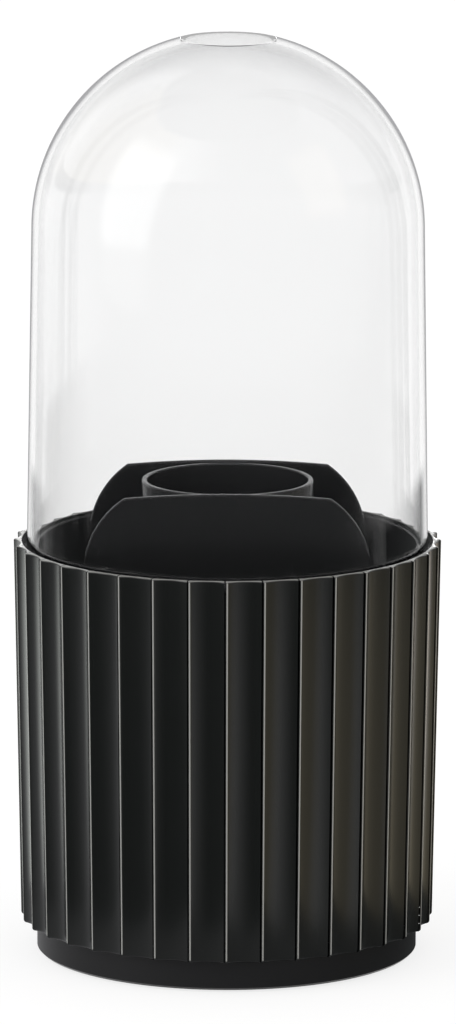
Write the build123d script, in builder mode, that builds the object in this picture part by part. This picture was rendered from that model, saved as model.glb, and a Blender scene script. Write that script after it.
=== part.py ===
from build123d import *
import os
from math import cos, degrees, radians, sin, sqrt

# Rotating makeup organiser: a fluted drum that turns on a ball race, a lift-out
# divider insert with a raised centre cup, and a clear dome lid that lifts off.
# Sizes are in millimetres and degrees. +Z is up, the origin is the middle of the
# footprint on the table, and -Y is the front.

# Foot: the round dish that stays still on the table
foot_radius = 55.8
foot_underside = 0.6  # height at which the rubber pads hold it
foot_floor = 2.5
foot_wall = 2.4
foot_shield = 0.9  # how far its wall rises past the plate's underside
foot_edge = 0.7  # chamfer round the lower edge

# Rubber pads, let into the underside of the foot
pad_radius = 6.5
pad_thickness = 1.8
pad_circle_radius = 44.0
pad_count = 4
pad_turn = 45.0  # angle of the first pad
pad_edge = 0.3
pad_side_gap = 0.1

# Ball race between the foot and the turntable plate
ball_radius = 2.5
ball_count = 12
race_radius = 32.0
race_gap = 0.05  # running gap between a ball and each track
track_depth = 1.2
track_rib_height = 2.3
track_rib_width = 10.0
cage_thickness = 1.4
cage_width = 8.0
pocket_gap = 0.15

# Turntable plate, its spigot, and the pivot that holds the foot on
plate_thickness = 3.0
plate_side_gap = 3.0
spigot_radius = 5.0
spigot_gap = 0.08  # running fit in the foot's boss
pivot_play = 0.1
boss_wall = 2.5
boss_top_gap = 0.7
pivot_recess_radius = 9.0
pivot_recess_depth = 3.2
washer_radius = 8.2
washer_thickness = 1.0
washer_hole_gap = 0.15
pivot_screw_radius = 2.0
pivot_screw_reach = 6.0  # how far it goes into the spigot
pivot_head_radius = 3.8
pivot_head_height = 1.7
pivot_head_edge = 0.55

# Countersunk screws that clamp plate, shell and drum together
screw_radius = 1.5
screw_head_radius = 3.0
countersink_angle = 90.0
screw_length = 8.4
screw_point = 1.5
screw_circle_radius = 42.0
screw_count = 4
screw_hole_gap = 0.2
thread_gap = 0.05
blind_end = 0.6  # left empty beyond a screw's tip
drive_width = 0.8  # cross recess in every screw head
drive_length = 3.2
drive_depth = 0.9

# Fluted shell
rim_radius = 62.5  # over the crests, at the rim
rim_height = 122.5
skirt_radius = 60.5  # over the crests, at the bottom edge
skirt_gap = 0.6  # running gap over the foot
flute_count = 36
flute_depth = 1.6
crest_width = 0.8
crest_drop = 0.15
front_angle = -90.0  # a crest faces the front
rim_round = 0.45
skirt_round = 1.0
round_steps = 2
shell_wall = 2.6  # behind the deepest part of a flute
shell_floor = 2.0
ledge_width = 1.8  # step on which the drum's flange hangs

# Smooth inner drum
drum_gap = 1.2
drum_wall = 1.9
drum_floor = 2.0
flange_thickness = 1.8
flange_gap = 0.2
seat_depth = 2.5  # from the rim down to the flange on which the dome stands
collar_wall = 1.2  # the drum's edge, over which the dome fits
collar_edge = 0.3
screw_boss_wall = 2.1
screw_boss_height = 3.5

# Divider insert
insert_lift = 0.2  # gap under its floor
insert_side_gap = 0.8
insert_floor = 1.6
panel_thickness = 1.8
panel_cup_gap = 0.2
panel_edge_gap = 3.9  # from a panel's corner to the drum
panel_crown = 18.7  # top of a panel above the rim, at the middle
panel_shoulder = 17.4  # the same, where its corner starts
corner_width = 11.7
corner_height = 22.2
socket_height = 3.0  # ring round the cup's lower end
socket_wall = 1.4

# Centre cup
cup_radius = 25.1
cup_draft = 0.5
cup_wall = 1.6
cup_rise = 18.1  # its rim above the drum's rim
cup_floor = 2.0
cup_seat_gap = 0.1
cup_edge = 0.4

# Clear dome lid
dome_gap = 0.3  # round the drum's collar
dome_seat_gap = 0.1
dome_wall = 2.0
dome_draft = 1.5
dome_straight = 94.7  # height of its nearly upright wall
dome_flat_radius = 14.0
dome_flat_wall = 1.7  # the flat on top is a little thinner than the wall
dome_edge = 0.5

# Heights that follow from the sizes above
foot_floor_top = foot_underside + foot_floor
track_top = foot_floor_top + track_rib_height
ball_height = track_top - track_depth + race_gap + ball_radius
plate_bottom = ball_height + ball_radius + race_gap - track_depth
plate_top = plate_bottom + plate_thickness
foot_top = plate_bottom + foot_shield
skirt_bottom = foot_top + skirt_gap
shell_floor_top = plate_top + shell_floor
drum_floor_top = shell_floor_top + drum_floor
screw_boss_top = drum_floor_top + screw_boss_height
seat_height = rim_height - seat_depth
flange_bottom = seat_height - flange_thickness
insert_bottom = screw_boss_top + insert_lift
insert_floor_top = insert_bottom + insert_floor
cup_bottom = insert_floor_top + cup_seat_gap
cup_top = rim_height + cup_rise
cup_floor_top = cup_bottom + cup_floor
pivot_shoulder = foot_underside + pivot_recess_depth
spigot_end = pivot_shoulder - pivot_play
pivot_head_top = spigot_end - washer_thickness
boss_top = plate_bottom - boss_top_gap
dome_bottom = seat_height + dome_seat_gap
dome_shoulder = dome_bottom + dome_straight
wall_slope = (rim_radius - skirt_radius) / (rim_height - skirt_bottom)


def crest_radius(height):
    """Radius over the flutes' crests, which narrows towards the skirt."""
    return rim_radius - wall_slope * (rim_height - height)


def shell_bore(height):
    return crest_radius(height) - flute_depth - shell_wall


def drum_outside(height):
    return shell_bore(height) - drum_gap


def drum_bore(height):
    return drum_outside(height) - drum_wall


# Radii that follow
plate_radius = foot_radius - foot_wall - plate_side_gap
boss_radius = pivot_recess_radius + boss_wall
rim_bore = shell_bore(flange_bottom) + ledge_width
flange_radius = rim_bore - flange_gap
collar_radius = drum_bore(seat_height) + collar_wall
dome_radius = collar_radius + dome_gap + dome_wall
dome_shoulder_radius = dome_radius - dome_draft
dome_top = dome_shoulder + sqrt(dome_shoulder_radius**2 - dome_flat_radius**2)
panel_inner_face = cup_radius + panel_cup_gap
panel_outer_face = panel_inner_face + panel_thickness
panel_reach = drum_bore(insert_floor_top) - panel_edge_gap
panel_half_width = sqrt(panel_reach**2 - panel_outer_face**2)
insert_radius = drum_bore(insert_bottom) - insert_side_gap
socket_bore = cup_radius + panel_cup_gap

os.makedirs("parts", exist_ok=True)


# Foot, with the lower ball track and the bearing boss in its middle
with BuildPart() as foot_base:
    with BuildSketch(Plane.XZ):
        with BuildLine():
            Polyline(
                (pivot_recess_radius, foot_underside),
                (foot_radius - foot_edge, foot_underside),
                (foot_radius, foot_underside + foot_edge),
                (foot_radius, foot_top),
                (foot_radius - foot_wall, foot_top),
                (foot_radius - foot_wall, foot_floor_top),
                (race_radius + track_rib_width / 2, foot_floor_top),
                (race_radius + track_rib_width / 2, track_top),
                (race_radius - track_rib_width / 2, track_top),
                (race_radius - track_rib_width / 2, foot_floor_top),
                (boss_radius, foot_floor_top),
                (boss_radius, boss_top),
                (spigot_radius + spigot_gap, boss_top),
                (spigot_radius + spigot_gap, pivot_shoulder),
                (pivot_recess_radius, pivot_shoulder),
                close=True,
            )
        make_face()
        with Locations((race_radius, ball_height)):
            Circle(ball_radius + race_gap, mode=Mode.SUBTRACT)
    revolve(axis=Axis.Z)
    with BuildSketch(Plane.XY.offset(foot_underside)):
        with PolarLocations(pad_circle_radius, pad_count, start_angle=pad_turn):
            Circle(pad_radius + pad_side_gap)
    extrude(amount=pad_thickness - foot_underside, mode=Mode.SUBTRACT)
foot_base.part.label = "foot_base"
export_step(foot_base.part, "parts/foot_base.step")


def polar(radius, angle):
    return radius * cos(radians(angle)), radius * sin(radians(angle))


# Rubber pads
for number in range(pad_count):
    with BuildPart() as rubber_pad:
        with BuildSketch():
            with Locations(polar(pad_circle_radius, pad_turn + 360 * number / pad_count)):
                Circle(pad_radius)
        extrude(amount=pad_thickness)
        chamfer(rubber_pad.faces().sort_by(Axis.Z)[0].edges(), pad_edge)
    rubber_pad.part.label = f"rubber_pad_{number + 1}"
    export_step(rubber_pad.part, f"parts/rubber_pad_{number + 1}.step")

# Bearing balls
for number in range(ball_count):
    with BuildPart() as bearing_ball:
        with Locations((*polar(race_radius, 360 * number / ball_count), ball_height)):
            Sphere(ball_radius)
    bearing_ball.part.label = f"bearing_ball_{number + 1:02d}"
    export_step(bearing_ball.part, f"parts/bearing_ball_{number + 1:02d}.step")

# Ball cage: a flat ring with a pocket for each ball
with BuildPart() as ball_cage:
    with BuildSketch(Plane.XY.offset(ball_height - cage_thickness / 2)):
        Circle(race_radius + cage_width / 2)
        Circle(race_radius - cage_width / 2, mode=Mode.SUBTRACT)
        with PolarLocations(race_radius, ball_count):
            Circle(ball_radius + pocket_gap, mode=Mode.SUBTRACT)
    extrude(amount=cage_thickness)
ball_cage.part.label = "ball_cage"
export_step(ball_cage.part, "parts/ball_cage.step")

# Turntable plate, with the upper ball track and the spigot
with BuildPart() as turntable_plate:
    with BuildSketch(Plane.XZ):
        with BuildLine():
            Polyline(
                (0, spigot_end),
                (spigot_radius, spigot_end),
                (spigot_radius, plate_bottom),
                (plate_radius, plate_bottom),
                (plate_radius, plate_top),
                (0, plate_top),
                close=True,
            )
        make_face()
        with Locations((race_radius, ball_height)):
            Circle(ball_radius + race_gap, mode=Mode.SUBTRACT)
    revolve(axis=Axis.Z)
    with Locations(Plane((0, 0, spigot_end), z_dir=(0, 0, -1))):
        Hole(pivot_screw_radius + thread_gap, depth=pivot_screw_reach + blind_end)
    with Locations(Plane((0, 0, plate_bottom), z_dir=(0, 0, -1))):
        with PolarLocations(screw_circle_radius, screw_count):
            CounterSinkHole(
                radius=screw_radius + screw_hole_gap,
                counter_sink_radius=screw_head_radius + screw_hole_gap,
                depth=plate_thickness,
                counter_sink_angle=countersink_angle,
            )
turntable_plate.part.label = "turntable_plate"
export_step(turntable_plate.part, "parts/turntable_plate.step")

# Pivot washer, which turns with the spigot and holds the foot up to the plate
with BuildPart() as pivot_washer:
    with BuildSketch(Plane.XY.offset(pivot_head_top)):
        Circle(washer_radius)
        Circle(pivot_screw_radius + washer_hole_gap, mode=Mode.SUBTRACT)
    extrude(amount=washer_thickness)
pivot_washer.part.label = "pivot_washer"
export_step(pivot_washer.part, "parts/pivot_washer.step")

# Pivot screw: a pan head with a cross recess
with BuildPart() as pivot_screw:
    with BuildSketch(Plane.XY.offset(pivot_head_top)):
        Circle(pivot_screw_radius)
    extrude(amount=washer_thickness + pivot_screw_reach)
    with BuildSketch(Plane.XY.offset(pivot_head_top)):
        Circle(pivot_head_radius)
    extrude(amount=-pivot_head_height)
    chamfer(pivot_screw.edges().sort_by(Axis.Z)[0], pivot_head_edge)
    with BuildSketch(Plane.XY.offset(pivot_head_top - pivot_head_height)):
        Rectangle(drive_length, drive_width)
        Rectangle(drive_width, drive_length)
    extrude(amount=drive_depth, mode=Mode.SUBTRACT)
pivot_screw.part.label = "pivot_screw"
export_step(pivot_screw.part, "parts/pivot_screw.step")

# Clamping screws, one node of separate solids
screw_axis = Axis((screw_circle_radius, 0, 0), (0, 0, 1))
screw_head_height = screw_head_radius - screw_radius
screw_tip = plate_bottom + screw_length
with BuildPart() as clamp_screws:
    with BuildSketch(Plane.XZ):
        with BuildLine():
            Polyline(
                (screw_circle_radius, plate_bottom),
                (screw_circle_radius + screw_head_radius, plate_bottom),
                (screw_circle_radius + screw_radius, plate_bottom + screw_head_height),
                (screw_circle_radius + screw_radius, screw_tip - screw_point),
                (screw_circle_radius, screw_tip),
                close=True,
            )
        make_face()
    revolve(axis=screw_axis)
    with BuildSketch(Plane.XY.offset(plate_bottom)):
        with Locations((screw_circle_radius, 0)):
            Rectangle(drive_length, drive_width)
            Rectangle(drive_width, drive_length)
    extrude(amount=drive_depth, mode=Mode.SUBTRACT)
    first_screw = clamp_screws.part.solid()
    for number in range(1, screw_count):
        add(first_screw.rotate(Axis.Z, 360 * number / screw_count))
clamp_screws.part.label = "clamp_screws"
export_step(clamp_screws.part, "parts/clamp_screws.step")


def flute_section(height, inset):
    """Outline of the fluted wall at a height, drawn inwards by inset."""
    crest = crest_radius(height) - inset
    pitch = 360 / flute_count
    half_crest = degrees(crest_width / 2 / crest)
    flank = crest - crest_drop
    with BuildSketch(Plane.XY.offset(height)) as section:
        with BuildLine():
            for number in range(flute_count):
                middle = front_angle + number * pitch
                start = polar(flank, middle - half_crest)
                end = polar(flank, middle + half_crest)
                following = polar(flank, middle + pitch - half_crest)
                valley = polar(crest - flute_depth, middle + pitch / 2)
                ThreePointArc(start, polar(crest, middle), end)
                ThreePointArc(end, valley, following)
        make_face()
    return section.sketch


def rounded_edge(radius):
    """Steps of a quarter round, each as its distance from the edge and its inset."""
    angles = [radians(90 * step / round_steps) for step in range(round_steps + 1)]
    return [(radius * (1 - cos(angle)), radius * (1 - sin(angle))) for angle in angles]


# Fluted shell
skirt_sections = [flute_section(skirt_bottom + rise, inset) for rise, inset in rounded_edge(skirt_round)]
rim_sections = [flute_section(rim_height - drop, inset) for drop, inset in rounded_edge(rim_round)]
with BuildPart() as fluted_shell:
    loft(skirt_sections + rim_sections[::-1], ruled=True)
    with BuildSketch(Plane.XZ):
        with BuildLine():
            Polyline(
                (0, skirt_bottom),
                (shell_bore(skirt_bottom), skirt_bottom),
                (shell_bore(plate_top), plate_top),
                (0, plate_top),
                close=True,
            )
        make_face()
        with BuildLine():
            Polyline(
                (0, shell_floor_top),
                (shell_bore(shell_floor_top), shell_floor_top),
                (shell_bore(flange_bottom), flange_bottom),
                (rim_bore, flange_bottom),
                (rim_bore, rim_height),
                (0, rim_height),
                close=True,
            )
        make_face()
    revolve(axis=Axis.Z, mode=Mode.SUBTRACT)
    with BuildSketch(Plane.XY.offset(plate_top)):
        with PolarLocations(screw_circle_radius, screw_count):
            Circle(screw_radius + screw_hole_gap)
    extrude(amount=shell_floor, mode=Mode.SUBTRACT)
fluted_shell.part.label = "fluted_shell"
export_step(fluted_shell.part, "parts/fluted_shell.step")

# Inner drum: it hangs by its flange, and its collar centres the dome
with BuildPart() as inner_drum:
    with BuildSketch(Plane.XZ):
        with BuildLine():
            Polyline(
                (0, shell_floor_top),
                (drum_outside(shell_floor_top), shell_floor_top),
                (drum_outside(flange_bottom), flange_bottom),
                (flange_radius, flange_bottom),
                (flange_radius, seat_height),
                (collar_radius, seat_height),
                (collar_radius, rim_height),
                (drum_bore(rim_height), rim_height),
                (drum_bore(drum_floor_top), drum_floor_top),
                (0, drum_floor_top),
                close=True,
            )
        make_face()
    revolve(axis=Axis.Z)
    fillet(inner_drum.edges().group_by(Axis.Z)[-1], collar_edge)
    with BuildSketch(Plane.XY.offset(drum_floor_top)):
        with PolarLocations(screw_circle_radius, screw_count):
            Circle(screw_radius + screw_boss_wall)
    extrude(amount=screw_boss_height)
    with BuildSketch(Plane.XY.offset(shell_floor_top)):
        with PolarLocations(screw_circle_radius, screw_count):
            Circle(screw_radius + thread_gap)
    extrude(amount=screw_tip + blind_end - shell_floor_top, mode=Mode.SUBTRACT)
inner_drum.part.label = "inner_drum"
export_step(inner_drum.part, "parts/inner_drum.step")

# Divider frame: floor, two arched panels and the socket for the cup
corner_start = panel_half_width - corner_width
corner_top = rim_height + panel_shoulder
corner_bottom = corner_top - corner_height
with BuildPart() as divider_frame:
    with BuildSketch(Plane.XY.offset(insert_bottom)):
        Circle(insert_radius)
    extrude(amount=insert_floor)
    with BuildSketch(Plane.XY.offset(insert_floor_top)):
        Circle(socket_bore + socket_wall)
        Circle(socket_bore, mode=Mode.SUBTRACT)
    extrude(amount=socket_height)
    with BuildSketch(Plane.XZ.offset(panel_inner_face)):
        with BuildLine():
            Polyline(
                (-panel_half_width, corner_bottom),
                (-panel_half_width, insert_floor_top),
                (panel_half_width, insert_floor_top),
                (panel_half_width, corner_bottom),
            )
            TangentArc((panel_half_width, corner_bottom), (corner_start, corner_top), tangent=(0, 1))
            ThreePointArc(
                (corner_start, corner_top), (0, rim_height + panel_crown), (-corner_start, corner_top)
            )
            TangentArc((-panel_half_width, corner_bottom), (-corner_start, corner_top), tangent=(0, 1))
        make_face()
    extrude(amount=panel_thickness)
    mirror(about=Plane.XZ)
divider_frame.part.label = "divider_frame"
export_step(divider_frame.part, "parts/divider_frame.step")

# Centre cup
cup_foot_radius = cup_radius - cup_draft
with BuildPart() as centre_cup:
    with BuildSketch(Plane.XZ):
        with BuildLine():
            Polyline(
                (0, cup_bottom),
                (cup_foot_radius, cup_bottom),
                (cup_radius, cup_top),
                (cup_radius - cup_wall, cup_top),
                (cup_foot_radius - cup_wall, cup_floor_top),
                (0, cup_floor_top),
                close=True,
            )
        make_face()
    revolve(axis=Axis.Z)
    fillet(centre_cup.edges().group_by(Axis.Z)[-1], cup_edge)
centre_cup.part.label = "centre_cup"
export_step(centre_cup.part, "parts/centre_cup.step")

# Dome lid
dome_bore = dome_radius - dome_wall
inner_shoulder_radius = dome_shoulder_radius - dome_wall
inner_top = dome_top - dome_flat_wall
inner_flat_radius = sqrt(inner_shoulder_radius**2 - (inner_top - dome_shoulder) ** 2)
with BuildPart() as dome_lid:
    with BuildSketch(Plane.XZ):
        with BuildLine():
            Line((dome_radius, dome_bottom), (dome_shoulder_radius, dome_shoulder))
            RadiusArc(
                (dome_shoulder_radius, dome_shoulder), (dome_flat_radius, dome_top), -dome_shoulder_radius
            )
            Polyline(
                (dome_flat_radius, dome_top), (0, dome_top), (0, inner_top), (inner_flat_radius, inner_top)
            )
            RadiusArc(
                (inner_flat_radius, inner_top), (inner_shoulder_radius, dome_shoulder), inner_shoulder_radius
            )
            Polyline(
                (inner_shoulder_radius, dome_shoulder), (dome_bore, dome_bottom), (dome_radius, dome_bottom)
            )
        make_face()
    revolve(axis=Axis.Z)
    fillet(dome_lid.edges().group_by(Axis.Z)[0], dome_edge)
dome_lid.part.label = "dome_lid"
export_step(dome_lid.part, "parts/dome_lid.step")
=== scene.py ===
from math import acos, asin, atan2, cos, degrees, hypot, pi, radians, sin, sqrt

import bmesh
import bpy
from mathutils import Matrix, Quaternion, Vector


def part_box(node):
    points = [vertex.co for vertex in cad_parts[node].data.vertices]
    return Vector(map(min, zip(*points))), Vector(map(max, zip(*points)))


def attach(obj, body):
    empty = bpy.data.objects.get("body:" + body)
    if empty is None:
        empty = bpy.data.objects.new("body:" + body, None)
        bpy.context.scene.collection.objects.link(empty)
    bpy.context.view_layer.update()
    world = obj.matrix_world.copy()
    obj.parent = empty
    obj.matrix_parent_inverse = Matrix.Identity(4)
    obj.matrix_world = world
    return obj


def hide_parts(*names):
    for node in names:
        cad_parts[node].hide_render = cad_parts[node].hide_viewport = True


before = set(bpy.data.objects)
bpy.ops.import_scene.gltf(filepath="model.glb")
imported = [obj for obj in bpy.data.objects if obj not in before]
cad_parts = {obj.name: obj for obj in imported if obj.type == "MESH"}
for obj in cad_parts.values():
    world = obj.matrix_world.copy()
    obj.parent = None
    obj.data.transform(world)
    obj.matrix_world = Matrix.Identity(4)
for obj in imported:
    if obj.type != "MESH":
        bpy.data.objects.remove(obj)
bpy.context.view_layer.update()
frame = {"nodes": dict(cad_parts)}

MM = 0.001
merge_distance = 0.001  # in millimetres: verts closer than this become one


# Sizes read from the frame, in millimetres
def low(node, axis):
    """The low side of a node's box."""
    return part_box(node)[0][axis] / MM


def high(node, axis):
    """The high side of a node's box."""
    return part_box(node)[1][axis] / MM


X, Z = 0, 2
shell_bottom, shell_top = low("fluted_shell", Z), high("fluted_shell", Z)
drum_bottom, drum_top = low("inner_drum", Z), high("inner_drum", Z)
dome_bottom, dome_top = low("dome_lid", Z), high("dome_lid", Z)
dome_radius = high("dome_lid", X)
cup_bottom, cup_top = low("centre_cup", Z), high("centre_cup", Z)
cup_radius = high("centre_cup", X)
insert_bottom, insert_top = low("divider_frame", Z), high("divider_frame", Z)
insert_radius = high("divider_frame", X)
plate_top = high("turntable_plate", Z)

# Fluted shell
rim_radius = 62.5
skirt_radius = 60.5
flute_count = 36
flute_depth = 1.6
crest_width = 0.9
crest_drop = 0.28  # the crests are rounded a little more than in the solids, for their highlight
shell_wall = 2.6
shell_floor = 2.0
ledge_width = 1.8
rim_round = 0.45
rim_inner_round = 0.3
skirt_round = 1.0
front_angle = -90.0  # the camera's side, where the pattern of flutes starts

# Inner drum
drum_gap = 1.2
drum_wall = 1.9
drum_floor = 2.0
flange_thickness = 1.8
flange_gap = 0.2
seat_depth = 2.5
collar_wall = 1.2
collar_round = 0.58
screw_boss_radius = 3.6
screw_boss_height = 3.5
screw_boss_edge = 0.3
screw_circle_radius = 42.0
screw_count = 4

# Divider insert
insert_floor = 1.6
panel_thickness = 1.8
panel_cup_gap = 0.2
panel_half_width = 41.4
panel_crown_rise = 1.3
corner_width = 11.7
corner_height = 22.2
panel_edge = 0.55
panel_sink = 0.2
socket_height = 3.0
socket_wall = 1.4
socket_edge = 0.3

# Centre cup
cup_draft = 0.5
cup_wall = 1.6
cup_floor = 2.0
cup_edge = 0.5

# Dome lid
dome_wall = 2.0
dome_draft = 1.5
dome_straight = 94.7
dome_flat_radius = 14.0
dome_flat_wall = 1.7
dome_flat_edge = 0.08
dome_edge = 0.5

# Painted highlights on the shell: how far they reach from a crest and down from the rim
crest_highlight_depth = 0.1
rim_highlight_depth = 0.3
rim_highlight_share = 0.55

# Textures: the size of their features, how much the gloss varies, and how deep the mould's texture is
mould_texture = 0.9  # the real one is about 0.05, too fine to show, so it is drawn this coarse
mould_swirl = 14.0
mould_gloss_change = 0.03
mould_texture_depth = 0.02
mould_texture_strength = 0.03
steel_grain = 0.6
steel_gloss_change = 0.3  # as a share of its roughness

# Clear plastic
clear_ior = 1.5
clear_density = 7.0  # of the grey that shows where the eye looks along the wall

# Steps round the axis, and along the dome's crown
round_steps = 180
dome_steps = 256
crown_steps = 56
screw_boss_steps = 48
edge_steps = 4

# Stage, in metres: the floor, the light, and the cards that only reflections show
floor_colour = "#8c8c8c"
floor_lift = 0.77  # what the eye sees added to the lit paper, up to white
floor_reach = 14.0
ambient_strength = 0.95
black_cloth, grey_cloth, pale_cloth = "#484a4a", "#b4b4b6", "#cdcdcf"
under_foot_edge, near_edge, foot_card_edge = 0.056, 0.12, 0.125  # radii on the floor
lid_edge, overhead_edge, far_edge = 0.6, 0.9, 1.6
sky_radius = 12.0
sky_step = 0.05  # between one sky card and the next, as the nearer hides the farther
card_lift = 0.0006  # between one floor card and the next above it
card_fade = 0.45  # share of a soft card's half width over which it fades out
card_steps = 48
strip_half_width, strip_half_fade = 0.8, 2.0  # in degrees
aim_height = 0.13

# Camera, fitted to the rim, the foot and the dome's outline in the photograph
camera_place = (0.00015, -2.678, 0.667)
camera_aim = (0.00015, 0, 0.13055)
camera_roll = 0.13
focal_length = 328.6


def linear(hex_colour):
    """An sRGB hex colour as linear RGBA."""
    channels = [int(hex_colour[i:i + 2], 16) / 255 for i in (1, 3, 5)]
    return [c / 12.92 if c <= 0.04045 else ((c + 0.055) / 1.055) ** 2.4 for c in channels] + [1.0]


def add(tree, kind, links=(), **settings):
    """One node with its settings and the links into its sockets."""
    node = tree.nodes.new(kind)
    for name, value in settings.items():
        if hasattr(node, name):
            setattr(node, name, value)
        else:
            node.inputs[name.replace("_", " ")].default_value = value
    for socket, source in dict(links).items():
        tree.links.new(source, node.inputs[socket])
    return node


def new_material(name):
    """A material without nodes yet, and its tree."""
    material = bpy.data.materials.new(name)
    material.use_nodes = True
    material.node_tree.nodes.clear()
    return material, material.node_tree


def object_noise(tree, size_mm, **settings):
    """Noise on Object coordinates whose features are about size_mm across."""
    place = add(tree, "ShaderNodeTexCoord")
    scale = 1 / (size_mm * MM)
    return add(tree, "ShaderNodeTexNoise", {"Vector": place.outputs["Object"]}, Scale=scale, **settings)


def moulded_plastic(name, colour, roughness, specular):
    """Plastic from a polished mould, with a satin gloss that varies as the plastic flowed."""
    material, tree = new_material(name)
    fine = object_noise(tree, mould_texture, Detail=3.0)
    broad = object_noise(tree, mould_swirl, Detail=2.0)
    gloss = add(tree, "ShaderNodeMapRange", {"Value": broad.outputs["Fac"]})
    gloss.inputs["To Min"].default_value = roughness - mould_gloss_change
    gloss.inputs["To Max"].default_value = roughness + mould_gloss_change
    bump = add(
        tree, "ShaderNodeBump", {"Height": fine.outputs["Fac"]},
        Strength=mould_texture_strength, Distance=mould_texture_depth * MM,
    )
    shader = add(
        tree, "ShaderNodeBsdfPrincipled",
        {"Roughness": gloss.outputs["Result"], "Normal": bump.outputs["Normal"]},
    )
    shader.inputs["Base Color"].default_value = linear(colour)
    shader.inputs["Specular IOR Level"].default_value = specular
    add(tree, "ShaderNodeOutputMaterial", {"Surface": shader.outputs["BSDF"]})
    return material


def plastic_with_painted_highlights(name, colour, highlight_colour, roughness, specular):
    """The same ABS with painted highlights: a thin paler line along each crest and round the rim."""
    material = moulded_plastic(name, colour, roughness, specular)
    tree = material.node_tree
    shader = next(node for node in tree.nodes if node.type == "BSDF_PRINCIPLED")
    place = add(tree, "ShaderNodeTexCoord")
    parts = add(tree, "ShaderNodeSeparateXYZ", {"Vector": place.outputs["Object"]})
    level = add(tree, "ShaderNodeCombineXYZ", {"X": parts.outputs["X"], "Y": parts.outputs["Y"]})
    radius = add(tree, "ShaderNodeVectorMath", {0: level.outputs["Vector"]}, operation="LENGTH")
    # Paler colour is painted on the crests and on the rim top, as a highlight
    crest = add(tree, "ShaderNodeMapRange", {"Value": parts.outputs["Z"]})
    crest.inputs["From Min"].default_value = shell_bottom * MM
    crest.inputs["From Max"].default_value = shell_top * MM
    crest.inputs["To Min"].default_value = skirt_radius * MM
    crest.inputs["To Max"].default_value = rim_radius * MM
    depth = add(tree, "ShaderNodeMath", {0: crest.outputs["Result"], 1: radius.outputs["Value"]},
                operation="SUBTRACT")
    crest_highlight_mask = add(
        tree, "ShaderNodeMapRange", {"Value": depth.outputs["Value"]}, interpolation_type="SMOOTHSTEP")
    crest_highlight_mask.inputs["From Min"].default_value = crest_highlight_depth * MM
    crest_highlight_mask.inputs["From Max"].default_value = 0.0
    rim_highlight_mask = add(
        tree, "ShaderNodeMapRange", {"Value": parts.outputs["Z"]}, interpolation_type="SMOOTHSTEP")
    rim_highlight_mask.inputs["From Min"].default_value = (shell_top - rim_highlight_depth) * MM
    rim_highlight_mask.inputs["From Max"].default_value = shell_top * MM
    rim_highlight_mask.inputs["To Max"].default_value = rim_highlight_share
    highlight_mask = add(tree, "ShaderNodeMath", {0: crest_highlight_mask.outputs["Result"], 1: rim_highlight_mask.outputs["Result"]},
                 operation="MAXIMUM")
    # The painted highlight colour goes where the mask is 1
    blend = add(tree, "ShaderNodeMix", {0: highlight_mask.outputs["Value"]}, data_type="RGBA")
    plain, highlight_input = [socket for socket in blend.inputs if socket.type == "RGBA"]
    plain.default_value = linear(colour)
    highlight_input.default_value = linear(highlight_colour)
    result = next(socket for socket in blend.outputs if socket.type == "RGBA")
    tree.links.new(result, shader.inputs["Base Color"])
    return material


def clear_plastic(name):
    """Polished polystyrene: clear, faintly grey where the eye looks along the wall."""
    material, tree = new_material(name)
    shader = add(tree, "ShaderNodeBsdfPrincipled")
    shader.inputs["Base Color"].default_value = linear("#ffffff")
    shader.inputs["Roughness"].default_value = 0.0
    shader.inputs["IOR"].default_value = clear_ior
    shader.inputs["Transmission Weight"].default_value = 1.0
    path = add(tree, "ShaderNodeLightPath")
    clear = add(tree, "ShaderNodeBsdfTransparent")
    clear.inputs["Color"].default_value = linear("#f6f7f8")
    mix = add(
        tree, "ShaderNodeMixShader",
        {"Fac": path.outputs["Is Shadow Ray"], 1: shader.outputs["BSDF"], 2: clear.outputs["BSDF"]},
    )
    absorb = add(tree, "ShaderNodeVolumeAbsorption")
    absorb.inputs["Color"].default_value = linear("#b8bcc0")
    absorb.inputs["Density"].default_value = clear_density
    add(tree, "ShaderNodeOutputMaterial",
        {"Surface": mix.outputs["Shader"], "Volume": absorb.outputs["Volume"]})
    return material


def metal(name, colour, roughness):
    """Bare or plated steel, with the slightly uneven gloss that polishing and plating leave."""
    material, tree = new_material(name)
    fine = object_noise(tree, steel_grain, Detail=2.0)
    gloss = add(tree, "ShaderNodeMapRange", {"Value": fine.outputs["Fac"]})
    gloss.inputs["To Min"].default_value = roughness * (1 - steel_gloss_change)
    gloss.inputs["To Max"].default_value = roughness * (1 + steel_gloss_change)
    shader = add(tree, "ShaderNodeBsdfPrincipled", {"Roughness": gloss.outputs["Result"]})
    shader.inputs["Base Color"].default_value = linear(colour)
    shader.inputs["Metallic"].default_value = 1.0
    add(tree, "ShaderNodeOutputMaterial", {"Surface": shader.outputs["BSDF"]})
    return material


# Insert: satin black, with soft broad reflections
black_abs = moulded_plastic("black_moulded_abs", "#171718", 0.2, 0.5)
# Shell: the same, with a painted highlight as a thin pale line along each crest and round the rim
painted_highlight_abs = plastic_with_painted_highlights("black_abs_painted_crest_highlights", "#161817", "#b0b0ac", 0.2, 0.5)
# Inner drum: painted darker than the other black parts, as painted shade where little light gets in
shaded_drum_abs = moulded_plastic("black_drum_abs_painted_shade", "#121213", 0.15, 0.2)
# Foot: a duller satin that holds no sharp reflection of the table
foot_abs = moulded_plastic("black_foot_abs", "#141415", 0.3, 0.5)
# Turntable plate: hidden, so its mould wasn't polished
dull_abs = moulded_plastic("dull_black_abs", "#1d1d1e", 0.45, 0.4)
# Ball cage: milky white and waxy
acetal = moulded_plastic("white_moulded_acetal", "#dcdcd6", 0.4, 0.5)
# Pads: dark grey and matt
rubber = moulded_plastic("black_moulded_rubber", "#222222", 0.7, 0.4)
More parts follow.
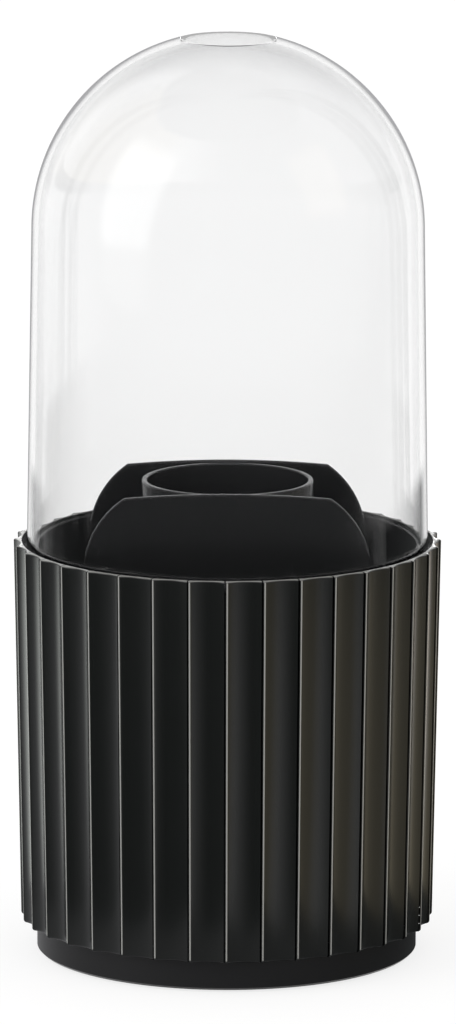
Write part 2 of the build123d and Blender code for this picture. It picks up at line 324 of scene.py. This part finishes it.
# Dome: clear, with crisp reflections and grey only along its edges
polystyrene = clear_plastic("clear_polished_polystyrene")
# Balls: mirror bright
ball_steel = metal("polished_bearing_steel", "#c8c9cb", 0.08)
# Screws and washer: a soft silver sheen
screw_steel = metal("zinc_plated_steel", "#b9bbbd", 0.3)


def new_piece(name, form, material, body, slot, *nodes):
    """Turns a finished bmesh, in millimetres, into a piece that rides on its body."""
    bmesh.ops.scale(form, vec=(MM, MM, MM), verts=form.verts)
    mesh = bpy.data.meshes.new(name)
    form.to_mesh(mesh)
    form.free()
    piece = bpy.data.objects.new(name, mesh)
    bpy.context.scene.collection.objects.link(piece)
    mesh.materials.append(material)
    mesh.shade_smooth()
    flat_first = piece.modifiers.new("large_faces_stay_flat", "WEIGHTED_NORMAL")
    flat_first.mode = "FACE_AREA"
    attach(piece, body)
    if nodes:
        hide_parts(*nodes)
    return piece


def arc(centre, radius, start, end, steps):
    """Points of (radius, height) along an arc, by angles in degrees from the horizontal."""
    angles = [radians(start + (end - start) * step / steps) for step in range(steps + 1)]
    return [(centre[0] + radius * cos(a), centre[1] + radius * sin(a)) for a in angles]


def lathe(outline, rounding=0.0, rounded=None, closed=True, steps=round_steps):
    """Spins an outline of (radius, height) points about the axis, with its listed corners rounded."""
    form = bmesh.new()
    verts = [form.verts.new((radius, 0, height)) for radius, height in outline]
    pairs = list(zip(verts, verts[1:])) + ([(verts[-1], verts[0])] if closed else [])
    for pair in pairs:
        form.edges.new(pair)
    corners = [verts[i] for i in rounded] if rounded else []
    if corners:
        bmesh.ops.bevel(
            form, geom=corners, offset=rounding, offset_type="OFFSET", segments=edge_steps, profile=0.5,
            affect="VERTICES", material=-1,
        )
    bmesh.ops.spin(
        form, geom=form.verts[:] + form.edges[:], cent=(0, 0, 0), axis=(0, 0, 1), angle=2 * pi,
        steps=steps, use_merge=True,
    )
    bmesh.ops.remove_doubles(form, verts=form.verts, dist=merge_distance)
    bmesh.ops.recalc_face_normals(form, faces=form.faces)
    return form


# Radii along the walls, as the frame's solids have them
def crest_radius(height):
    """The shell's crests, which taper from the rim to the skirt."""
    return rim_radius - (rim_radius - skirt_radius) * (shell_top - height) / (shell_top - shell_bottom)


def shell_bore(height):
    return crest_radius(height) - flute_depth - shell_wall


def drum_outside(height):
    return shell_bore(height) - drum_gap


def drum_bore(height):
    return drum_outside(height) - drum_wall


seat_height = shell_top - seat_depth
flange_bottom = seat_height - flange_thickness
rim_bore = shell_bore(flange_bottom) + ledge_width
collar_radius = drum_bore(seat_height) + collar_wall
shell_floor_top = plate_top + shell_floor
drum_floor_top = drum_bottom + drum_floor
insert_floor_top = insert_bottom + insert_floor
socket_bore = cup_radius + panel_cup_gap


def flute_outline():
    """One flute and one crest as (angle in degrees, depth below the crest) pairs over a pitch."""
    pitch = 360 / flute_count
    half_crest = degrees(crest_width / 2 / rim_radius)
    crest_steps, flute_steps = 6, 22
    outline = []
    crest_round = (crest_drop**2 + (crest_width / 2) ** 2) / (2 * crest_drop)
    for step in range(crest_steps):
        along = crest_width * (step / crest_steps - 0.5)
        outline.append((half_crest * 2 * along / crest_width, crest_round - sqrt(crest_round**2 - along**2)))
    chord = 2 * (rim_radius - crest_drop) * sin(radians(pitch / 2 - half_crest))
    middle_drop = (rim_radius - crest_drop) * (1 - cos(radians(pitch / 2 - half_crest)))
    sag = flute_depth - crest_drop - middle_drop
    flute_round = (sag**2 + (chord / 2) ** 2) / (2 * sag)
    half_turn = asin(chord / 2 / flute_round)
    start_x = (rim_radius - crest_drop) * cos(radians(pitch / 2 - half_crest))
    centre_x = start_x + flute_round * cos(half_turn)
    for step in range(flute_steps):
        turn = half_turn * (2 * step / flute_steps - 1)
        px = centre_x - flute_round * cos(turn)
        py = flute_round * sin(turn)
        outline.append((pitch / 2 + degrees(atan2(py, px)), rim_radius - hypot(px, py)))
    return outline


def chain(form, points):
    """A row of verts joined by edges, through points of (angle in degrees, radius, height)."""
    verts = [form.verts.new((radius * cos(radians(angle)), radius * sin(radians(angle)), height))
             for angle, radius, height in points]
    return [form.edges.new(pair) for pair in zip(verts, verts[1:])]


def quarter(radius, steps=4):
    """Steps of a quarter round, each as its distance from the edge and its inset."""
    angles = [radians(90 * step / steps) for step in range(steps + 1)]
    return [(radius * (1 - cos(a)), radius * (1 - sin(a))) for a in angles]


def fluted_wall():
    """The shell with its flutes: one pitch is bridged from row to row, then spun round the axis."""
    outline = flute_outline()
    fluted = [(shell_bottom + rise, inset) for rise, inset in quarter(skirt_round)]
    fluted += [(shell_bottom + (shell_top - shell_bottom) * share, 0) for share in (0.25, 0.5, 0.75)]
    fluted += [(shell_top - drop, inset) for drop, inset in quarter(rim_round)[::-1]]
    round_rows = [(shell_top - drop, rim_bore + inset) for drop, inset in quarter(rim_inner_round)]
    round_rows += [
        (flange_bottom, rim_bore),
        (flange_bottom, shell_bore(flange_bottom)),
        (shell_floor_top, shell_bore(shell_floor_top)),
        (shell_floor_top, 0),
        (plate_top, 0),
        (plate_top, shell_bore(plate_top)),
        (shell_bottom, shell_bore(shell_bottom)),
    ]
    form = bmesh.new()
    rows = [
        chain(form, [(front_angle + angle, crest_radius(height) - inset - depth, height)
                     for angle, depth in outline])
        for height, inset in fluted
    ]
    rows += [
        chain(form, [(front_angle + angle, radius, height) for angle, depth in outline])
        for height, radius in round_rows
    ]
    for row, following in zip(rows, rows[1:] + rows[:1]):
        bmesh.ops.bridge_loops(form, edges=row + following)
    bmesh.ops.spin(
        form, geom=form.faces[:], cent=(0, 0, 0), axis=(0, 0, 1),
        angle=2 * pi * (flute_count - 1) / flute_count, steps=flute_count - 1, use_duplicate=True,
    )
    bmesh.ops.remove_doubles(form, verts=form.verts, dist=merge_distance)
    bmesh.ops.recalc_face_normals(form, faces=form.faces)
    return form


def inner_drum():
    """The drum, with the four bosses that its clamping screws bite into."""
    form = lathe(
        [
            (0, drum_bottom),
            (drum_outside(drum_bottom), drum_bottom),
            (drum_outside(flange_bottom), flange_bottom),
            (rim_bore - flange_gap, flange_bottom),
            (rim_bore - flange_gap, seat_height),
            (collar_radius, seat_height),
            (collar_radius, drum_top),
            (drum_bore(drum_top), drum_top),
            (drum_bore(drum_floor_top), drum_floor_top),
            (0, drum_floor_top),
        ],
        rounding=collar_round, rounded=(6, 7), closed=False,
    )
    for number in range(screw_count):
        boss = lathe(
            [
                (0, drum_floor_top - panel_sink),
                (screw_boss_radius, drum_floor_top - panel_sink),
                (screw_boss_radius, drum_floor_top + screw_boss_height),
                (0, drum_floor_top + screw_boss_height),
            ],
            rounding=screw_boss_edge, rounded=(2,), closed=False, steps=screw_boss_steps,
        )
        turn = Matrix.Rotation(2 * pi * number / screw_count, 4, "Z")
        shift = Matrix.Translation((screw_circle_radius, 0, 0))
        bmesh.ops.transform(boss, matrix=turn @ shift, verts=boss.verts)
        join(form, boss)
    return form


def arched_panel(form):
    """One panel of the insert, drawn as its outline and thickened to the front."""
    inner_face = cup_radius + panel_cup_gap
    corner_start = panel_half_width - corner_width
    corner_top = insert_top - panel_crown_rise
    corner_bottom = corner_top - corner_height
    steps = 16
    corner_round = (corner_width**2 + corner_height**2) / (2 * corner_width)
    right = arc(
        (panel_half_width - corner_round, corner_bottom), corner_round,
        0, degrees(asin(corner_height / corner_round)), steps,
    )
    bend = (corner_start**2 + panel_crown_rise**2) / (2 * panel_crown_rise)
    crown = [
        (across, insert_top - bend + sqrt(bend**2 - across**2))
        for across in [corner_start * (1 - step / steps) for step in range(1, steps)]
    ]
    half = [(panel_half_width, insert_floor_top - panel_sink)] + right + crown
    outline = half + [(0, insert_top)] + [(-across, height) for across, height in half[::-1]]
    face = form.faces.new([form.verts.new((across, -inner_face, height)) for across, height in outline])
    made = bmesh.ops.extrude_face_region(form, geom=[face])["geom"]
    moved = [item for item in made if isinstance(item, bmesh.types.BMVert)]
    bmesh.ops.translate(form, vec=(0, -panel_thickness, 0), verts=moved)
    return form


def divider_frame():
    """The insert's floor and its cup socket, with one panel in front and its twin behind."""
    panel = arched_panel(bmesh.new())
    bmesh.ops.recalc_face_normals(panel, faces=panel.faces)
    rims = [e for e in panel.edges if e.is_manifold and e.calc_face_angle() > radians(60)]
    bmesh.ops.bevel(
        panel, geom=rims, offset=panel_edge, offset_type="OFFSET", segments=edge_steps, profile=0.5,
        affect="EDGES", material=-1, clamp_overlap=True,
    )
    copy = bmesh.ops.duplicate(panel, geom=panel.verts[:] + panel.edges[:] + panel.faces[:])["geom"]
    copied = [item for item in copy if isinstance(item, bmesh.types.BMVert)]
    bmesh.ops.rotate(panel, cent=(0, 0, 0), matrix=Matrix.Rotation(pi, 3, "Z"), verts=copied)
    floor = lathe(
        [
            (0, insert_bottom),
            (insert_radius, insert_bottom),
            (insert_radius, insert_floor_top),
            (socket_bore + socket_wall, insert_floor_top),
            (socket_bore + socket_wall, insert_floor_top + socket_height),
            (socket_bore, insert_floor_top + socket_height),
            (socket_bore, insert_floor_top),
            (0, insert_floor_top),
        ],
        rounding=socket_edge, rounded=(1, 2, 4, 5), closed=False,
    )
    return join(panel, floor)


def join(form, other):
    """Adds one bmesh to another."""
    mesh = bpy.data.meshes.new("joined")
    other.to_mesh(mesh)
    other.free()
    form.from_mesh(mesh)
    bpy.data.meshes.remove(mesh)
    return form


def centre_cup():
    """The raised cup in the middle, which narrows a little to its floor."""
    lower_radius = cup_radius - cup_draft
    return lathe(
        [
            (0, cup_bottom),
            (lower_radius, cup_bottom),
            (cup_radius, cup_top),
            (cup_radius - cup_wall, cup_top),
            (lower_radius - cup_wall, cup_bottom + cup_floor),
            (0, cup_bottom + cup_floor),
        ],
        rounding=cup_edge, rounded=(1, 2, 3, 4), closed=False,
    )


def soft_corner(before, corner, after, whole=False, steps=4):
    """Points of a curve that rounds a corner off, without its start unless it is asked for whole."""
    points = []
    for step in range(0 if whole else 1, steps if whole else steps + 1):
        t = step / steps
        points.append(tuple(
            (1 - t) ** 2 * a + 2 * t * (1 - t) * b + t**2 * c for a, b, c in zip(before, corner, after)))
    return points


def clear_dome():
    """The lid: a drafted wall, a round crown, and a flat with a crisp edge."""
    shoulder = dome_bottom + dome_straight
    outer = dome_radius - dome_draft
    inner = outer - dome_wall
    inner_top = dome_top - dome_flat_wall
    inner_flat_radius = sqrt(inner**2 - (inner_top - shoulder) ** 2)
    edge_angle = degrees(acos((dome_flat_radius + dome_flat_edge) / outer))
    inner_edge_angle = degrees(acos((inner_flat_radius + dome_flat_edge) / inner))
    crown = arc((0, shoulder), outer, 0, edge_angle, crown_steps)
    inner_crown = arc((0, shoulder), inner, inner_edge_angle, 0, crown_steps)
    outline = [(dome_radius, dome_bottom)] + crown
    outline += soft_corner(
        crown[-1], (dome_flat_radius, dome_top), (dome_flat_radius - dome_flat_edge, dome_top))
    outline += [(0, dome_top), (0, inner_top)]
    outline += soft_corner(
        (inner_flat_radius - dome_flat_edge, inner_top), (inner_flat_radius, inner_top), inner_crown[0],
        whole=True)
    outline += inner_crown
    outline += [(dome_radius - dome_wall, dome_bottom)]
    return lathe(outline, rounding=dome_edge, rounded=(0, len(outline) - 1), closed=True, steps=dome_steps)


# Pieces of the object
new_piece("fluted_shell_moulding", fluted_wall(), painted_highlight_abs, "carousel", "black_plastic", "fluted_shell")
new_piece("inner_drum_moulding", inner_drum(), shaded_drum_abs, "carousel", "black_plastic", "inner_drum")
new_piece("divider_moulding", divider_frame(), black_abs, "insert", "black_plastic", "divider_frame")
new_piece("centre_cup_moulding", centre_cup(), black_abs, "insert", "black_plastic", "centre_cup")
new_piece("clear_dome", clear_dome(), polystyrene, "lid", "clear_plastic", "dome_lid")

nodes = frame["nodes"]
node_materials = {
    "foot_base": foot_abs,
    "turntable_plate": dull_abs,
    "ball_cage": acetal,
    "pivot_washer": screw_steel,
    "pivot_screw": screw_steel,
    "clamp_screws": screw_steel,
}
for name, node in nodes.items():
    material = node_materials.get(name)
    if name.startswith("bearing_ball"):
        material = ball_steel
    if name.startswith("rubber_pad"):
        material = rubber
    if material:
        node.data.materials.clear()
        node.data.materials.append(material)


# Floor, backdrop and light
def stage_object(name, form, material):
    """A thing that belongs to the stage and not to the object."""
    mesh = bpy.data.meshes.new(name)
    form.to_mesh(mesh)
    form.free()
    mesh.materials.append(material)
    thing = bpy.data.objects.new(name, mesh)
    bpy.context.scene.collection.objects.link(thing)
    return thing


def sees_backdrop(tree):
    """1 for the rays that see the white background: camera, glossy and transmission rays."""
    path = add(tree, "ShaderNodeLightPath")
    first = add(
        tree, "ShaderNodeMath", {0: path.outputs["Is Camera Ray"], 1: path.outputs["Is Glossy Ray"]},
        operation="MAXIMUM",
    )
    both = add(
        tree, "ShaderNodeMath", {0: first.outputs["Value"], 1: path.outputs["Is Transmission Ray"]},
        operation="MAXIMUM",
    )
    return both.outputs["Value"]


def paper_floor():
    """Matt paper that keeps the object's shadow, and is lifted to white where the eye sees it."""
    material, tree = new_material("white_paper_floor")
    diffuse = add(tree, "ShaderNodeBsdfDiffuse", Color=linear(floor_colour))
    lift = add(tree, "ShaderNodeMath", {0: sees_backdrop(tree)}, operation="MULTIPLY")
    lift.inputs[1].default_value = floor_lift
    glow = add(tree, "ShaderNodeEmission", {"Strength": lift.outputs["Value"]}, Color=(1, 1, 1, 1))
    both = add(tree, "ShaderNodeAddShader", {0: diffuse.outputs["BSDF"], 1: glow.outputs["Emission"]})
    add(tree, "ShaderNodeOutputMaterial", {"Surface": both.outputs["Shader"]})
    form = bmesh.new()
    bmesh.ops.create_grid(form, x_segments=1, y_segments=1, size=floor_reach)
    return stage_object("floor", form, material)


def white_world():
    """Even light from all round, and white where the eye sees it."""
    world = bpy.data.worlds.new("studio")
    bpy.context.scene.world = world
    world.use_nodes = True
    tree = world.node_tree
    tree.nodes.clear()
    ambient = add(tree, "ShaderNodeBackground", Color=(1, 1, 1, 1), Strength=ambient_strength)
    white = add(tree, "ShaderNodeBackground", Color=(1, 1, 1, 1), Strength=1.0)
    mix = add(
        tree, "ShaderNodeMixShader",
        {"Fac": sees_backdrop(tree), 1: ambient.outputs["Background"], 2: white.outputs["Background"]},
    )
    add(tree, "ShaderNodeOutputWorld", {"Surface": mix.outputs["Shader"]})


def glowing_cloth(tree, cover, colour, strength):
    """Finishes a card's material: its own colour where cover is 1, clear where it is 0."""
    clear = add(tree, "ShaderNodeBsdfTransparent")
    cloth = add(tree, "ShaderNodeEmission", Color=linear(colour), Strength=strength)
    mix = add(
        tree, "ShaderNodeMixShader", {"Fac": cover, 1: clear.outputs["BSDF"], 2: cloth.outputs["Emission"]})
    add(tree, "ShaderNodeOutputMaterial", {"Surface": mix.outputs["Shader"]})


def mirrored_card(name, profile, colour, strength, full, ends, thin=None, through_lid=True):
    """A card that only reflections show, spun about the object from a (radius, height) profile.

    It is solid between the two angles of full and fades out to the two of ends, all in degrees
    from the camera's side, positive to the right. It can also thin out between two radii or
    two heights, and be left out of what is seen through the lid.
    """
    middle = (ends[0] + ends[1]) / 2
    material, tree = new_material(name + "_cloth")
    path = add(tree, "ShaderNodeLightPath")
    place = add(tree, "ShaderNodeTexCoord")
    parts = add(tree, "ShaderNodeSeparateXYZ", {"Vector": place.outputs["Object"]})
    front = add(tree, "ShaderNodeMath", {0: parts.outputs["Y"]}, operation="MULTIPLY")
    front.inputs[1].default_value = -1.0
    azimuth = add(
        tree, "ShaderNodeMath", {0: parts.outputs["X"], 1: front.outputs["Value"]}, operation="ARCTAN2")
    radius = add(tree, "ShaderNodeVectorMath", {0: place.outputs["Object"]}, operation="LENGTH")
    cover = add(tree, "ShaderNodeMath", {0: path.outputs["Glossy Depth"]}, operation="MINIMUM")
    cover.inputs[1].default_value = 1.0
    if not through_lid:
        bare = add(tree, "ShaderNodeMath", {0: path.outputs["Transmission Depth"]}, operation="LESS_THAN")
        bare.inputs[1].default_value = 0.5
        cover = add(tree, "ShaderNodeMath", {0: cover.outputs["Value"], 1: bare.outputs["Value"]},
                    operation="MULTIPLY")
    fades = [
        (azimuth.outputs["Value"], radians(end - middle), radians(solid - middle))
        for solid, end in zip(full, ends) if solid != end
    ]
    if thin:
        along, solid, end = thin
        fades.append((radius.outputs["Value"] if along == "radius" else parts.outputs["Z"], end, solid))
    for measure, end, solid in fades:
        fade = add(tree, "ShaderNodeMapRange", {"Value": measure}, interpolation_type="SMOOTHSTEP")
        fade.inputs["From Min"].default_value = end
        fade.inputs["From Max"].default_value = solid
        cover = add(tree, "ShaderNodeMath", {0: cover.outputs["Value"], 1: fade.outputs["Result"]},
                    operation="MULTIPLY")
    glowing_cloth(tree, cover.outputs["Value"], colour, strength)
    first = radians(front_angle + ends[0] - middle)
    form = bmesh.new()
    verts = [form.verts.new((reach * cos(first), reach * sin(first), height)) for reach, height in profile]
    for pair in zip(verts, verts[1:]):
        form.edges.new(pair)
    bmesh.ops.spin(
        form, geom=form.verts[:] + form.edges[:], cent=(0, 0, 0), axis=(0, 0, 1),
        angle=radians(ends[1] - ends[0]), steps=card_steps,
    )
    card = stage_object(name, form, material)
    card.rotation_euler.z = radians(middle)
    card.visible_camera = False
    card.visible_diffuse = False
    card.visible_shadow = False
    return card


def soft_card(name, azimuth, height, distance, half_width, half_height, strength, colour):
    """A glowing card that fades out to its edges. Azimuth 0 is the camera's side, 90 the right."""
    material, tree = new_material(name + "_cloth")
    place = add(tree, "ShaderNodeTexCoord")
    parts = add(tree, "ShaderNodeSeparateXYZ", {"Vector": place.outputs["Object"]})
    levels = []
    for axis in ("X", "Y"):
        off = add(tree, "ShaderNodeMath", {0: parts.outputs[axis]}, operation="ABSOLUTE")
        fade = add(
            tree, "ShaderNodeMapRange", {"Value": off.outputs["Value"]}, interpolation_type="SMOOTHSTEP")
        fade.inputs["From Min"].default_value = 1.0
        fade.inputs["From Max"].default_value = 1.0 - card_fade
        levels.append(fade.outputs["Result"])
    level = add(tree, "ShaderNodeMath", {0: levels[0], 1: levels[1]}, operation="MULTIPLY")
    glowing_cloth(tree, level.outputs["Value"], colour, strength)
    form = bmesh.new()
    bmesh.ops.create_grid(form, x_segments=1, y_segments=1, size=1.0)
    card = stage_object(name, form, material)
    turn = radians(azimuth)
    away = Vector((sin(turn), -cos(turn), 0)) * distance
    facing = away + Vector((0, 0, height - aim_height))
    card.location = away + Vector((0, 0, height))
    card.rotation_mode = "QUATERNION"
    card.rotation_quaternion = facing.to_track_quat("Z", "Y")
    card.scale = (half_width, half_height, 1)
    card.visible_camera = False
    card.visible_transmission = False
    card.visible_shadow = False
    return card


def ring(inner, outer, layer):
    """A flat ring just above the floor; higher layers lie on lower ones."""
    return [(inner, layer * card_lift), (outer, layer * card_lift)]


def sky_arc(start, end, steps, nearness=0):
    """The sky from one elevation to another; a nearer one hides those behind it."""
    return arc((0, 0), sky_radius - nearness * sky_step, start, end, steps)


paper_floor()
white_world()

# What the foot mirrors: grey floor all round, darker to the right and behind
all_round = (-180, 180)
mirrored_card(
    "foot_grey_flag", ring(under_foot_edge, foot_card_edge, 0.4), grey_cloth, 0.85, all_round, all_round)
mirrored_card(
    "foot_flag", ring(under_foot_edge, foot_card_edge, 0.7), black_cloth, 1.0, (100, 170), (-70, 180))

# What the shell mirrors: a grey left side, a near-black front and back, a warm right side,
# and a cool and a warm strip that light its outermost flutes
mirrored_card("left_flag", ring(near_edge, lid_edge, 1), grey_cloth, 1.0, (-175, -70), (-180, -50))
mirrored_card("front_flag", ring(near_edge, lid_edge, 2), black_cloth, 1.0, (-50, -10), (-105, 60))
mirrored_card("back_flag", ring(near_edge, lid_edge, 2), black_cloth, 1.0, (168, 192), (148, 215))
mirrored_card("warm_reflector", ring(near_edge, lid_edge, 3), "#fff2d2", 0.57, (60, 110), (28, 150))
mirrored_card(
    "cool_reflector", ring(near_edge, lid_edge, 3), "#fbfffb", 1.6, (-150, -125), (-178, -98),
    through_lid=False)
mirrored_card(
    "edge_reflector", ring(near_edge, lid_edge, 4), "#fff0e0", 1.7, (138, 147), (128, 160), through_lid=False)

# What the dome's wall mirrors: dark floor, which keeps the bays black, then darker to the left
mirrored_card(
    "lid_foot_flag", ring(lid_edge, far_edge, 2), black_cloth, 1.0, (-142, 142), (-162, 162),
    ("radius", 0.745, 0.81))
mirrored_card(
    "lid_flag", ring(lid_edge, far_edge, 2), black_cloth, 1.0, (-95, 60), (-158, 100),
    ("radius", 0.8, far_edge))

# What the dome's crown mirrors: a dark patch high in front, and grey overhead
mirrored_card(
    "sky_flag", ring(lid_edge, sky_radius, 1)[:1] + sky_arc(0, 90, 24), black_cloth, 1.0,
    (-55, 55), (-130, 130), ("height", 0.853 * sky_radius, 0.985 * sky_radius))
overhead = ring(overhead_edge, sky_radius - 2 * sky_step, 3) + sky_arc(1, 90, 24, 2)
mirrored_card(
    "overhead_flag", overhead, pale_cloth, 1.0, (-108, 108), (-140, 140), ("radius", 1.4, overhead_edge))
mirrored_card(
    "cap_flag", sky_arc(15, 90, 20, 3), pale_cloth, 1.0, all_round, all_round,
    ("height", 0.65 * sky_radius, 0.33 * sky_radius))

# Thin dark lines down both sides of the dome, and a grey line along its top edge
strip = ring(lid_edge, sky_radius - 4 * sky_step, 4) + sky_arc(1, 90, 24, 4)
for azimuth in (-114, -103, 111.5, 118.5, 126):
    mirrored_card(
        f"dark_strip_{azimuth + 180:.0f}", strip, black_cloth, 1.0,
        (azimuth - strip_half_width, azimuth + strip_half_width),
        (azimuth - strip_half_fade, azimuth + strip_half_fade))
mirrored_card(
    "back_edge_flag", ring(lid_edge, sky_radius, 1) + sky_arc(1, 20, 5), grey_cloth, 1.0,
    (165, 195), (160, 200), ("height", 0.045 * sky_radius, 0.19 * sky_radius))

# Bright lines on the flat of the shell's rim, at both sides of the dome
rim_strip = [(3.0, 0.55), (3.0, 0.72)]
mirrored_card(
    "left_rim_strip", rim_strip, "#ffffff", 14.0, (181.7, 183.3), (181.2, 184.2), through_lid=False)
mirrored_card(
    "right_rim_strip", rim_strip, "#ffffff", 14.0, (176.7, 178.3), (175.8, 178.8), through_lid=False)

# The soft light patch on the dome's left, and a weak warm one on its right
soft_card("left_card", -62, 0.6, 1.1, 0.46, 0.75, 2.6, "#ffffff")
soft_card("right_card", 62, 0.8, 1.1, 0.38, 0.5, 1.3, "#fff4e8")

# Camera
camera_data = bpy.data.cameras.new("camera")
camera = bpy.data.objects.new("camera", camera_data)
bpy.context.scene.collection.objects.link(camera)
bpy.context.scene.camera = camera
camera_data.lens = focal_length
camera_data.clip_start, camera_data.clip_end = 0.1, 50
camera.location = camera_place
camera.rotation_mode = "QUATERNION"
level_view = (camera.location - Vector(camera_aim)).to_track_quat("Z", "Y")
camera.rotation_quaternion = level_view @ Quaternion((0, 0, 1), radians(camera_roll))
bpy.context.scene.view_settings.view_transform = "Standard"
